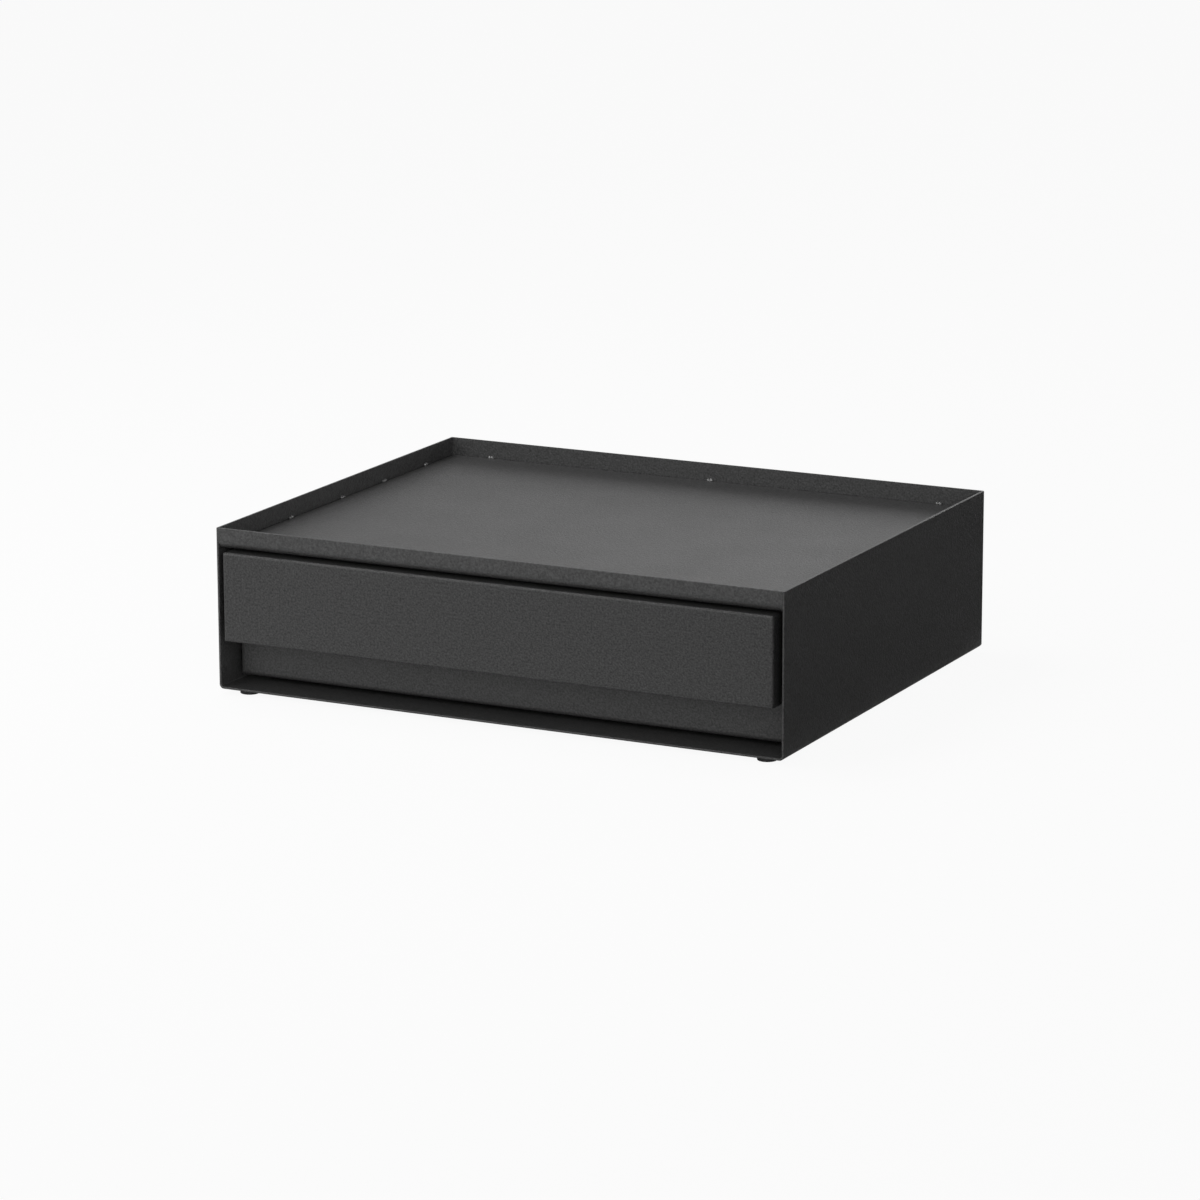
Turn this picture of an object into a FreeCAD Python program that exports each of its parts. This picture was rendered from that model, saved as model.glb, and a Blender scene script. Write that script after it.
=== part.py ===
"""Desk tray with one shallow drawer, folded from powder-coated steel sheet.

Millimetres, +Z up. The drawer front faces -Y, X runs from left to right.
X and Y are zero at the middle of the whole object, Z is zero under the feet.
"""
import FreeCAD, Part
import math
import os
from FreeCAD import Vector

# Case: one folded sheet makes the floor, both sides and the back
CASE_WIDTH = 340.0
CASE_DEPTH = 270.0
CASE_HEIGHT = 90.5
SHEET = 1.2
BEND_INSIDE = 1.4
WELDED_CORNER_ROUND = 0.8
EDGE_ROUND = 0.4

# Tray: the top plate, whose front edge is folded up into the front rim
TRAY_DEPTH = 10.3
RIM_BEND_INSIDE = 3.6
TRAY_EDGE_GAP = 0.6

# Tack welds that hold the tray plate between the walls
WELD_LENGTH = 4.2
WELD_RADIUS = 1.5
WELD_FACETS = 8
SIDE_WELDS_FROM_FRONT = (78.0, 136.0, 185.0, 235.0)
REAR_WELD_SPACING = 143.0

# Round rubber feet, stuck under the floor
FOOT_RADIUS = 5.5
FOOT_HEIGHT = 3.0
FOOT_INSET_X = 13.7
FOOT_INSET_Y = 9.7
FOOT_EDGE_ROUND = 0.3

# Drawer front: a shallow folded cap that stands proud of the case
FRONT_PROUD = 2.6
FRONT_SIDE_GAP = 3.9
FRONT_TOP_GAP = 1.5
FRONT_BEND_INSIDE = 0.2
FRONT_BOTTOM_CORNER = 1.2
FINGER_SLOT_HEIGHT = 26.5
FLANGE_WIDTH = 18.0
GRIP_HEM_HEIGHT = 7.0
GRIP_HEM_GAP = 0.1
GRIP_HEM_ROUND_SHARE = 0.49

# Drawer box: a welded pan of thinner sheet, set back behind the front
BOX_SHEET = 1.0
BOX_BEND_INSIDE = 1.6
BOX_SET_BACK = 18.0
BOX_SIDE_GAP = 1.6
BOX_FLOOR_GAP = 2.9
BOX_HEADROOM = 6.3
BOX_HEM_HEIGHT = 7.0

# Runners: nylon angles on the case floor, held by push rivets
RUNNER_WIDTH = 14.0
RUNNER_SIDE_HEIGHT = 14.0
RUNNER_PLAY = 0.3
RUNNER_FRONT_INSET = 30.0
RUNNER_REAR_INSET = 8.0
RUNNER_INSIDE_ROUND = 0.8
RUNNER_EDGE_ROUND = 0.4
RIVETS_PER_RUNNER = 3
RIVET_END_INSET = 20.0
RIVET_SHANK_RADIUS = 1.5
RIVET_HEAD_RADIUS = 3.0
RIVET_HEAD_HEIGHT = 1.0
RIVET_HEAD_SINK = 0.3
RIVET_TAIL_RADIUS = 2.4
RIVET_TAIL_HEIGHT = 0.8

# Rubber bumpers on the back wall, where the closed drawer comes to rest
BUMPER_RADIUS = 5.0
BUMPER_THICKNESS = 2.0
BUMPER_SPACING = 220.0
BUMPER_PLAY = 0.3

# Stop: clips on the drawer's rear wall meet a rail under the tray
DRAWER_TRAVEL = 190.0
STOP_PLAY = 0.3
STOP_RAIL_LENGTH = 300.0
STOP_RAIL_WIDTH = 12.0
STOP_RAIL_BEND_INSIDE = 0.8
STOP_RAIL_CLEARANCE = 1.3
CLIP_WIDTH = 18.0
CLIP_LEG_THICKNESS = 1.8
CLIP_LEG_HEIGHT = 12.0
CLIP_TOP_PLAY = 0.5
CLIP_SPACING = 200.0
CLIP_EDGE_ROUND = 0.5

# Pan-head screws and clinch nuts that join the front to the box
SCREW_RADIUS = 2.0
SCREW_LENGTH = 6.0
SCREW_HEAD_RADIUS = 4.0
SCREW_HEAD_HEIGHT = 2.4
SCREW_HEAD_ROUND = 1.2
CROSS_LENGTH = 4.4
CROSS_WIDTH = 0.9
CROSS_DEPTH = 1.2
NUT_RADIUS = 4.0
NUT_THICKNESS = 2.0
NUT_SHANK_WALL = 0.8
SCREW_SIDE_INSET = 8.7
SCREW_TOP_INSET = 9.0
TOP_SCREW_SPACING = 110.0
LOWER_SCREW_RISE = 11.2

# Clearances
HOLE_PLAY = 0.2
FIT_PLAY = 0.05
OVERSHOOT = 5.0

# Planes that the pieces share
HALF_WIDTH = CASE_WIDTH / 2
INNER_HALF = HALF_WIDTH - SHEET
CASE_FRONT = FRONT_PROUD - (CASE_DEPTH + FRONT_PROUD) / 2
CASE_BACK = CASE_FRONT + CASE_DEPTH
BACK_INNER = CASE_BACK - SHEET
CASE_UNDER = FOOT_HEIGHT
FLOOR_TOP = CASE_UNDER + SHEET
CASE_TOP = CASE_UNDER + CASE_HEIGHT
TRAY_TOP = CASE_TOP - TRAY_DEPTH
TRAY_UNDER = TRAY_TOP - SHEET

FACE_Y = CASE_FRONT - FRONT_PROUD
FRONT_HALF = INNER_HALF - FRONT_SIDE_GAP
FRONT_TOP = TRAY_UNDER - FRONT_TOP_GAP
FRONT_BOTTOM = FLOOR_TOP + FINGER_SLOT_HEIGHT

BOX_HALF = INNER_HALF - BOX_SIDE_GAP
BOX_FRONT = CASE_FRONT + BOX_SET_BACK
BOX_BACK = BACK_INNER - BUMPER_THICKNESS - BUMPER_PLAY
BOX_UNDER = FLOOR_TOP + BOX_FLOOR_GAP
BOX_TOP = TRAY_UNDER - BOX_HEADROOM
BOX_FRONT_INNER = BOX_FRONT + BOX_SHEET
BOX_BACK_INNER = BOX_BACK - BOX_SHEET

RUNNER_THICKNESS = BOX_FLOOR_GAP - RUNNER_PLAY
RUNNER_SIDE_THICKNESS = BOX_SIDE_GAP - RUNNER_PLAY
RUNNER_FRONT = CASE_FRONT + RUNNER_FRONT_INSET
RUNNER_BACK = BACK_INNER - RUNNER_REAR_INSET

CLIP_TOP = TRAY_UNDER - CLIP_TOP_PLAY
CLIP_FRONT = BOX_BACK_INNER - FIT_PLAY - CLIP_LEG_THICKNESS
STOP_RAIL_BACK = CLIP_FRONT - DRAWER_TRAVEL - STOP_PLAY
STOP_RAIL_BOTTOM = BOX_TOP + STOP_RAIL_CLEARANCE

NUT_BORE_RADIUS = SCREW_RADIUS + FIT_PLAY
NUT_SHANK_RADIUS = NUT_BORE_RADIUS + NUT_SHANK_WALL


def block(x0, x1, y0, y1, z0, z1):
    """A box between two opposite corners."""
    return Part.makeBox(x1 - x0, y1 - y0, z1 - z0, Vector(x0, y0, z0))


def cylinder(centre, direction, radius, length):
    """A cylinder that starts at centre and runs along direction."""
    return Part.makeCylinder(radius, length, centre, direction)


def rounded_wire(points, radii):
    """A closed outline whose corners are arcs of the given radii, 0 for a sharp one."""
    edges = []
    count = len(points)
    ends = []
    for i, radius in enumerate(radii):
        corner = points[i]
        back = (points[i - 1] - corner).normalize()
        ahead = (points[(i + 1) % count] - corner).normalize()
        if radius <= 0:
            ends.append((corner, corner))
            continue
        half_angle = back.getAngle(ahead) / 2
        setback = radius / math.tan(half_angle)
        start = corner + back * setback
        end = corner + ahead * setback
        towards = (back + ahead).normalize()
        middle = corner + towards * (radius / math.sin(half_angle) - radius)
        ends.append((start, end))
        edges.append(Part.Arc(start, middle, end).toShape())
    for i in range(count):
        start = ends[i][1]
        end = ends[(i + 1) % count][0]
        if start.distanceToPoint(end) > 1e-6:
            edges.append(Part.LineSegment(start, end).toShape())
    return Part.Wire(Part.__sortEdges__(edges))


def extrude(points, radii, direction):
    """A solid prism from a rounded outline."""
    return Part.Face(rounded_wire(points, radii)).extrude(direction)


def prism_x(yz_points, radii, x0, x1):
    """A prism along X from an outline given in Y and Z."""
    points = [Vector(x0, y, z) for y, z in yz_points]
    return extrude(points, radii, Vector(x1 - x0, 0, 0))


def prism_y(xz_points, radii, y0, y1):
    """A prism along Y from an outline given in X and Z."""
    points = [Vector(x, y0, z) for x, z in xz_points]
    return extrude(points, radii, Vector(0, y1 - y0, 0))


def prism_z(xy_points, radii, z0, z1):
    """A prism along Z from an outline given in X and Y."""
    points = [Vector(x, y, z0) for x, y in xy_points]
    return extrude(points, radii, Vector(0, 0, z1 - z0))


def rectangle(a0, a1, b0, b1):
    """Four corners: low-low, high-low, high-high, low-high."""
    return [(a0, b0), (a1, b0), (a1, b1), (a0, b1)]


def edges_on(shape, **planes):
    """The edges whose two ends lie on every named plane, such as z=TRAY_TOP."""
    found = []
    for edge in shape.Edges:
        ends = [vertex.Point for vertex in edge.Vertexes]
        if all(abs(getattr(p, axis) - value) < 1e-4 for p in ends for axis, value in planes.items()):
            found.append(edge)
    return found


def mirror_x(shape):
    """The same piece on the other side of the middle plane."""
    return shape.mirror(Vector(0, 0, 0), Vector(1, 0, 0))


def save(name, shape):
    """Write one node, a single solid or a group of separate solids."""
    if not shape.isValid():
        raise ValueError(name + " is not a valid shape")
    shape.exportStep("parts/" + name + ".step")
    print(name, "solids", len(shape.Solids), "volume_mm3", round(shape.Volume, 1))


def group(shapes):
    """Separate solids in one node."""
    return Part.makeCompound(shapes)


def folded_pan(half, y0, y1, z0, z1, bend, corner, front_bend):
    """The outside or the inside of a pan: rounded below and at its upright corners."""
    across = prism_y(rectangle(-half, half, z0, z1), [bend, bend, 0, 0], y0, y1)
    along = prism_x(rectangle(y0, y1, z0, z1), [front_bend, bend, 0, 0], -half, half)
    front_corner = corner if front_bend else 0
    plan = prism_z(rectangle(-half, half, y0, y1), [front_corner, front_corner, corner, corner], z0, z1)
    return across.common(along).common(plan)


def rivet_places():
    """Rivet centres of the right-hand runner, on the case floor."""
    x = INNER_HALF - RUNNER_SIDE_THICKNESS - (RUNNER_WIDTH - RUNNER_SIDE_THICKNESS) / 2
    first = RUNNER_FRONT + RIVET_END_INSET
    step = (RUNNER_BACK - RUNNER_FRONT - 2 * RIVET_END_INSET) / (RIVETS_PER_RUNNER - 1)
    return [Vector(x, first + step * i, FLOOR_TOP) for i in range(RIVETS_PER_RUNNER)]


def screw_places():
    """Screw centres on the front face of the box, on both sides and along the top."""
    side_x = FRONT_HALF - SCREW_SIDE_INSET
    high_z = min(FRONT_TOP, BOX_TOP) - SCREW_TOP_INSET
    low_z = FRONT_BOTTOM + LOWER_SCREW_RISE
    places = []
    for x in (-side_x, side_x):
        places.append(Vector(x, BOX_FRONT, low_z))
        places.append(Vector(x, BOX_FRONT, high_z))
    for x in (-TOP_SCREW_SPACING / 2, TOP_SCREW_SPACING / 2):
        places.append(Vector(x, BOX_FRONT, high_z))
    return places


def make_case_shell():
    """Floor, two sides and a back, folded up from one sheet and welded at the rear corners."""
    bend_outside = BEND_INSIDE + SHEET
    outer = folded_pan(HALF_WIDTH, CASE_FRONT, CASE_BACK, CASE_UNDER, CASE_TOP,
                       bend_outside, WELDED_CORNER_ROUND, 0)
    inner = folded_pan(INNER_HALF, CASE_FRONT - OVERSHOOT, BACK_INNER, FLOOR_TOP, CASE_TOP + OVERSHOOT,
                       BEND_INSIDE, 0, 0)
    shell = outer.cut(inner)
    rim = []
    for edge in edges_on(shell, z=CASE_TOP) + edges_on(shell, y=CASE_FRONT):
        box = edge.BoundBox
        outside = max(abs(box.XMin), abs(box.XMax)) > INNER_HALF + SHEET / 2
        rear = box.YMin > BACK_INNER + SHEET / 4
        floor = box.YMax < CASE_FRONT + SHEET and box.ZMax < CASE_UNDER + bend_outside + SHEET
        if outside or rear or floor:
            rim.append(edge)
    shell = shell.makeFillet(EDGE_ROUND, rim)
    for place in rivet_places():
        start = place - Vector(0, 0, SHEET + OVERSHOOT)
        hole = cylinder(start, Vector(0, 0, 1), RIVET_SHANK_RADIUS + HOLE_PLAY, SHEET + 2 * OVERSHOOT)
        shell = shell.cut(hole).cut(mirror_x(hole))
    return shell


def make_tray_plate():
    """Top plate with its front edge folded up; a fine groove runs along the other three walls."""
    outline = [(CASE_FRONT, CASE_TOP), (CASE_FRONT, TRAY_UNDER), (BACK_INNER - TRAY_EDGE_GAP, TRAY_UNDER),
               (BACK_INNER - TRAY_EDGE_GAP, TRAY_TOP), (CASE_FRONT + SHEET, TRAY_TOP),
               (CASE_FRONT + SHEET, CASE_TOP)]
    radii = [EDGE_ROUND, RIM_BEND_INSIDE + SHEET, 0, EDGE_ROUND, RIM_BEND_INSIDE, EDGE_ROUND]
    plate = prism_x(outline, radii, -INNER_HALF, INNER_HALF)
    bend_end = CASE_FRONT + SHEET + RIM_BEND_INSIDE
    half = INNER_HALF - TRAY_EDGE_GAP
    flat_part = prism_y(rectangle(-half, half, TRAY_UNDER - SHEET, TRAY_TOP),
                        [0, 0, EDGE_ROUND, EDGE_ROUND], bend_end, CASE_BACK)
    room = block(-HALF_WIDTH, HALF_WIDTH, bend_end, CASE_BACK, TRAY_UNDER - SHEET, TRAY_TOP + SHEET)
    return plate.cut(room.cut(flat_part))


def weld_dome(centre):
    """A small ball of flat facets, the same seen along all three axes."""
    def facets(a, b):
        turns = [(i + 0.5) * 2 * math.pi / WELD_FACETS for i in range(WELD_FACETS)]
        return [(a + WELD_RADIUS * math.cos(turn), b + WELD_RADIUS * math.sin(turn)) for turn in turns]

    sharp = [0] * WELD_FACETS
    x, y, z = centre
    reach = WELD_RADIUS
    seen_from_x = prism_x(facets(y, z), sharp, x - reach, x + reach)
    seen_from_y = prism_y(facets(x, z), sharp, y - reach, y + reach)
    seen_from_z = prism_z(facets(x, y), sharp, z - reach, z + reach)
    return seen_from_x.common(seen_from_y).common(seen_from_z)


def weld_bead(corner, along, away):
    """A small double dome in the corner where the plate meets a wall."""
    shift = along * (WELD_LENGTH / 2 - WELD_RADIUS)
    bead = weld_dome(corner - shift).fuse(weld_dome(corner + shift)).removeSplitter()
    ends = [corner - along * WELD_LENGTH, corner + along * WELD_LENGTH + away * WELD_LENGTH]
    room = block(min(p.x for p in ends), max(p.x for p in ends), min(p.y for p in ends), max(p.y for p in ends),
                 TRAY_TOP, CASE_TOP)
    return bead.common(room)


def make_tray_weld_beads():
    """Tack welds: a row along each side wall and three along the back."""
    beads = []
    for from_front in SIDE_WELDS_FROM_FRONT:
        corner = Vector(INNER_HALF, CASE_FRONT + from_front, TRAY_TOP)
        bead = weld_bead(corner, Vector(0, 1, 0), Vector(-1, 0, 0))
        beads.append(bead)
        beads.append(mirror_x(bead))
    for step in (-1, 0, 1):
        corner = Vector(step * REAR_WELD_SPACING, BACK_INNER, TRAY_TOP)
        beads.append(weld_bead(corner, Vector(1, 0, 0), Vector(0, -1, 0)))
    return group(beads)


def make_foot(side, front):
    """One round rubber foot with a rounded lower edge."""
    x = side * (HALF_WIDTH - FOOT_INSET_X)
    y = CASE_FRONT + FOOT_INSET_Y if front else CASE_BACK - FOOT_INSET_Y
    foot = cylinder(Vector(x, y, 0), Vector(0, 0, 1), FOOT_RADIUS, FOOT_HEIGHT)
    return foot.makeFillet(FOOT_EDGE_ROUND, edges_on(foot, z=0.0))


def make_stop_rail():
    """A folded angle welded under the tray; its hanging leg stops the drawer."""
    front = STOP_RAIL_BACK - STOP_RAIL_WIDTH
    outline = [(front, TRAY_UNDER), (front, TRAY_UNDER - SHEET), (STOP_RAIL_BACK - SHEET, TRAY_UNDER - SHEET),
               (STOP_RAIL_BACK - SHEET, STOP_RAIL_BOTTOM), (STOP_RAIL_BACK, STOP_RAIL_BOTTOM),
               (STOP_RAIL_BACK, TRAY_UNDER)]
    bend = STOP_RAIL_BEND_INSIDE
    radii = [0, 0, bend, EDGE_ROUND, EDGE_ROUND, bend + SHEET]
    return prism_x(outline, radii, -STOP_RAIL_LENGTH / 2, STOP_RAIL_LENGTH / 2)


def make_runner():
    """The right-hand nylon runner: a floor leg, a side leg and sunk rivet holes."""
    inner = INNER_HALF - RUNNER_WIDTH
    face = INNER_HALF - RUNNER_SIDE_THICKNESS
    top = FLOOR_TOP + RUNNER_SIDE_HEIGHT
    step = FLOOR_TOP + RUNNER_THICKNESS
    outline = [(inner, FLOOR_TOP), (INNER_HALF, FLOOR_TOP), (INNER_HALF, top), (face, top), (face, step), (inner, step)]
    edge = RUNNER_EDGE_ROUND
    radii = [0, BEND_INSIDE + FIT_PLAY, edge, edge, RUNNER_INSIDE_ROUND, edge]
    runner = prism_y(outline, radii, RUNNER_FRONT, RUNNER_BACK)
    up = Vector(0, 0, 1)
    for place in rivet_places():
        start = place - Vector(0, 0, OVERSHOOT)
        runner = runner.cut(cylinder(start, up, RIVET_SHANK_RADIUS + HOLE_PLAY, 2 * OVERSHOOT))
        seat = place + Vector(0, 0, RUNNER_THICKNESS - RIVET_HEAD_HEIGHT - RIVET_HEAD_SINK)
        runner = runner.cut(cylinder(seat, up, RIVET_HEAD_RADIUS + HOLE_PLAY, OVERSHOOT))
    return runner


def make_runner_rivets():
    """Push rivets: a head sunk in the runner, a shank through the floor and a spread tail."""
    rivets = []
    up = Vector(0, 0, 1)
    for place in rivet_places():
        seat = place + Vector(0, 0, RUNNER_THICKNESS - RIVET_HEAD_HEIGHT - RIVET_HEAD_SINK)
        under = place - Vector(0, 0, SHEET)
        head = cylinder(seat, up, RIVET_HEAD_RADIUS, RIVET_HEAD_HEIGHT)
        shank = cylinder(under, up, RIVET_SHANK_RADIUS, seat.z - under.z)
        tail = cylinder(under, -up, RIVET_TAIL_RADIUS, RIVET_TAIL_HEIGHT)
        tail = tail.makeFillet(RIVET_TAIL_HEIGHT / 2, edges_on(tail, z=under.z - RIVET_TAIL_HEIGHT))
        rivet = head.fuse([shank, tail]).removeSplitter()
        rivets.append(rivet)
        rivets.append(mirror_x(rivet))
    return group(rivets)


def make_bumper(side):
    """A low rubber dome on the back wall, level with the middle of the box."""
    centre = Vector(side * BUMPER_SPACING / 2, BACK_INNER, (BOX_UNDER + BOX_TOP) / 2)
    bumper = cylinder(centre, Vector(0, -1, 0), BUMPER_RADIUS, BUMPER_THICKNESS)
    return bumper.makeFillet(BUMPER_THICKNESS / 2, edges_on(bumper, y=BACK_INNER - BUMPER_THICKNESS))


def make_drawer_box():
    """The drawer's pan: floor and four walls, with the side walls hemmed along the top."""
    bend_outside = BOX_BEND_INSIDE + BOX_SHEET
    outer = folded_pan(BOX_HALF, BOX_FRONT, BOX_BACK, BOX_UNDER, BOX_TOP, bend_outside, bend_outside, bend_outside)
    inner = folded_pan(BOX_HALF - BOX_SHEET, BOX_FRONT_INNER, BOX_BACK_INNER,
                       BOX_UNDER + BOX_SHEET, BOX_TOP + OVERSHOOT, BOX_BEND_INSIDE, BOX_BEND_INSIDE, BOX_BEND_INSIDE)
    box = outer.cut(inner)
    hem_x = BOX_HALF - BOX_SHEET
    hem_ends = BOX_BEND_INSIDE + BOX_SHEET
    hem = block(hem_x - BOX_SHEET, hem_x, BOX_FRONT_INNER + hem_ends, BOX_BACK_INNER - hem_ends,
                BOX_TOP - BOX_HEM_HEIGHT, BOX_TOP)
    box = box.fuse([hem, mirror_x(hem)]).removeSplitter()
    for place in screw_places():
        start = place - Vector(0, OVERSHOOT, 0)
        box = box.cut(cylinder(start, Vector(0, 1, 0), SCREW_RADIUS + HOLE_PLAY, 2 * OVERSHOOT))
    return box


def make_drawer_front():
    """A folded cap, open below as a finger pull, with flanges that lie on the box."""
    bend_outside = FRONT_BEND_INSIDE + SHEET
    hem_back = FACE_Y + 2 * SHEET + GRIP_HEM_GAP
    hem_round = GRIP_HEM_ROUND_SHARE * (hem_back - FACE_Y)

    def cap(inset, bend, bottom, corner, lower_round):
        half = FRONT_HALF - inset
        y0 = FACE_Y + inset
        y1 = BOX_FRONT - inset
        z1 = FRONT_TOP - inset
        plan = prism_z(rectangle(-half, half, y0, y1), [bend] * 4, bottom, z1)
        side = prism_x(rectangle(y0, y1, bottom, z1), [lower_round, 0, bend, bend], -half, half)
        face = prism_y(rectangle(-half, half, bottom, z1), [corner, corner, bend, bend], y0, y1)
        return plan.common(side).common(face)

    outer = cap(0, bend_outside, FRONT_BOTTOM, FRONT_BOTTOM_CORNER, hem_round)
    inner = cap(SHEET, FRONT_BEND_INSIDE, FRONT_BOTTOM - OVERSHOOT, 0, 0)
    hem_half = FRONT_HALF - SHEET - FRONT_BEND_INSIDE
    hem_outline = rectangle(FACE_Y, hem_back, FRONT_BOTTOM, FRONT_BOTTOM + GRIP_HEM_HEIGHT)
    hem = prism_x(hem_outline, [0, hem_round, EDGE_ROUND, 0], -hem_half, hem_half)
    window_half = FRONT_HALF - FLANGE_WIDTH
    window = block(-window_half, window_half, BOX_FRONT - 2 * SHEET, BOX_FRONT + SHEET,
                   FRONT_BOTTOM - OVERSHOOT, FRONT_TOP - FLANGE_WIDTH)
    front = outer.cut(inner.cut(hem)).cut(window)
    for place in screw_places():
        start = place - Vector(0, 2 * SHEET, 0)
        front = front.cut(cylinder(start, Vector(0, 1, 0), NUT_SHANK_RADIUS + FIT_PLAY, 3 * SHEET))
    return front


def make_front_screws():
    """Pan-head screws with a cross recess, put in from inside the box."""
    screws = []
    forward = Vector(0, -1, 0)
    for place in screw_places():
        seat = place + Vector(0, BOX_SHEET, 0)
        shank = cylinder(seat, forward, SCREW_RADIUS, SCREW_LENGTH)
        head = cylinder(seat, -forward, SCREW_HEAD_RADIUS, SCREW_HEAD_HEIGHT)
        crown = seat.y + SCREW_HEAD_HEIGHT
        head = head.makeFillet(SCREW_HEAD_ROUND, edges_on(head, y=crown))
        half = CROSS_LENGTH / 2
        thin = CROSS_WIDTH / 2
        upright = block(seat.x - thin, seat.x + thin, crown - CROSS_DEPTH, crown + 1, seat.z - half, seat.z + half)
        level = block(seat.x - half, seat.x + half, crown - CROSS_DEPTH, crown + 1, seat.z - thin, seat.z + thin)
        screws.append(head.cut(upright.fuse(level)).fuse(shank).removeSplitter())
    return group(screws)


def make_front_nuts():
    """Clinch nuts pressed into the flanges of the drawer front."""
    nuts = []
    forward = Vector(0, -1, 0)
    for place in screw_places():
        face = place + forward * SHEET
        shank = cylinder(place, forward, NUT_SHANK_RADIUS, SHEET)
        body = cylinder(face, forward, NUT_RADIUS, NUT_THICKNESS)
        bore = cylinder(place - forward, forward, NUT_BORE_RADIUS, SHEET + NUT_THICKNESS + OVERSHOOT)
        nuts.append(body.fuse(shank).removeSplitter().cut(bore))
    return group(nuts)


def make_stop_clip(side):
    """A nylon clip over the rear wall; it meets the stop rail and glides under the tray."""
    slot_front = BOX_BACK_INNER - FIT_PLAY
    slot_back = BOX_BACK + FIT_PLAY
    back = slot_back + CLIP_LEG_THICKNESS - BUMPER_PLAY
    foot = BOX_TOP - CLIP_LEG_HEIGHT
    seat = BOX_TOP + FIT_PLAY
    outline = [(CLIP_FRONT, foot), (slot_front, foot), (slot_front, seat), (slot_back, seat),
               (slot_back, foot), (back, foot), (back, CLIP_TOP), (CLIP_FRONT, CLIP_TOP)]
    edge = CLIP_EDGE_ROUND
    radii = [edge, 0, 0, 0, 0, edge, edge, edge]
    middle = side * CLIP_SPACING / 2
    return prism_x(outline, radii, middle - CLIP_WIDTH / 2, middle + CLIP_WIDTH / 2)


def main():
    os.makedirs("parts", exist_ok=True)
    save("case_shell", make_case_shell())
    save("tray_plate", make_tray_plate())
    save("tray_weld_beads", make_tray_weld_beads())
    save("foot_front_left", make_foot(-1, True))
    save("foot_front_right", make_foot(1, True))
    save("foot_rear_left", make_foot(-1, False))
    save("foot_rear_right", make_foot(1, False))
    save("stop_rail", make_stop_rail())
    runner = make_runner()
    save("runner_left", mirror_x(runner))
    save("runner_right", runner)
    save("runner_rivets", make_runner_rivets())
    save("bumper_left", make_bumper(-1))
    save("bumper_right", make_bumper(1))
    save("drawer_box", make_drawer_box())
    save("drawer_front", make_drawer_front())
    save("front_screws", make_front_screws())
    save("front_nuts", make_front_nuts())
    save("stop_clip_left", make_stop_clip(-1))
    save("stop_clip_right", make_stop_clip(1))


main()
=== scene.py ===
"""Looks of the steel desk tray with drawer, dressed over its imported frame. Metres throughout."""
import bmesh
import bpy
import math
import random
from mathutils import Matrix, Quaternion, Vector


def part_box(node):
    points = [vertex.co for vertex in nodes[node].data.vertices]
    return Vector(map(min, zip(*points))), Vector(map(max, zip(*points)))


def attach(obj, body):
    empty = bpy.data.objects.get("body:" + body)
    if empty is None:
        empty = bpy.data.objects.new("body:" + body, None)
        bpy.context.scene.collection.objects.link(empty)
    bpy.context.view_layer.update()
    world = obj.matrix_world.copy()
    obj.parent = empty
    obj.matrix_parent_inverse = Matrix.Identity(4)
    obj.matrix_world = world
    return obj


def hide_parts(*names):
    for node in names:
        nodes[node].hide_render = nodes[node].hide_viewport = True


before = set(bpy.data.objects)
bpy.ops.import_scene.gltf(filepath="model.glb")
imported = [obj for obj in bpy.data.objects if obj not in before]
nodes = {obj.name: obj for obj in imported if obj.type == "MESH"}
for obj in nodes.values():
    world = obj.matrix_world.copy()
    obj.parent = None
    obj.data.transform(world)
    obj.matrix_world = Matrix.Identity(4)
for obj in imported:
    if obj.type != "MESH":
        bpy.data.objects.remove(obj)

scene = bpy.context.scene
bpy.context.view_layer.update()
MM = 0.001


# Floor, backdrop and light. A white studio table under a soft sky, brightest in front and behind, with two
# soft boxes. To the right of the object the table is painted dark grey where only the object sees it. This is
# painted shade that keeps the object's right side dark.
def linear(hex_colour):
    """An sRGB hex colour as the linear RGBA that Blender works in."""
    channels = [int(hex_colour[i:i + 2], 16) / 255 for i in (1, 3, 5)]
    return tuple(c / 12.92 if c <= 0.04045 else ((c + 0.055) / 1.055) ** 2.4 for c in channels) + (1.0,)


def add_node(tree, kind, settings=None, **inputs):
    """Adds a node with its settings. Inputs go by socket name or iN, as values or as (node, output)."""
    node = tree.nodes.new(kind)
    for name, value in (settings or {}).items():
        setattr(node, name, value)
    for name, value in inputs.items():
        key = int(name[1:]) if name[0] == "i" and name[1:].isdigit() else name.replace("_", " ")
        socket = node.inputs[key]
        if isinstance(value, tuple) and value and isinstance(value[0], bpy.types.Node):
            tree.links.new(value[0].outputs[value[1]], socket)
        else:
            socket.default_value = value
    return node


def blank_material(name):
    """A material with an empty node tree."""
    material = bpy.data.materials.new(name)
    material.use_nodes = True
    material.node_tree.nodes.clear()
    return material, material.node_tree


def new_object(name, mesh):
    """A scene object at the origin that holds the mesh."""
    piece = bpy.data.objects.new(name, mesh)
    scene.collection.objects.link(piece)
    return piece


WHITE = linear("#FFFFFF")
# The dark grey is painted shade, laid on the table right of the object for all but camera rays
TABLE_PAINT, PAINTED_SHADE_GREY = linear("#E0E0E0"), linear("#303030")
TABLE_GLOW = 0.93
TABLE_REACH = 6.0
PAINTED_SHADE_FROM = 0.175

# Each patch of sky has a direction, a strength and a focus; a higher focus is a narrower patch
SKY = {"right": ((1, 0, 0), 0.2, 2), "left": ((-1, 0, 0), 0.5, 2), "behind": ((0, 1, 0), 3.5, 10),
       "front": ((0.42, -0.9, 0.1), 2.55, 4)}

# Each soft box has a place, a width, a height and a power in watts
SOFT_BOXES = {"overhead": ((-0.55, 0.0, 1.15), 0.8, 0.6, 7.0),
              "front_left": ((-0.8, -1.0, 0.8), 0.8, 0.6, 4.6)}
SOFT_BOX_AIM = Vector((0, 0, 0.05))

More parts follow.
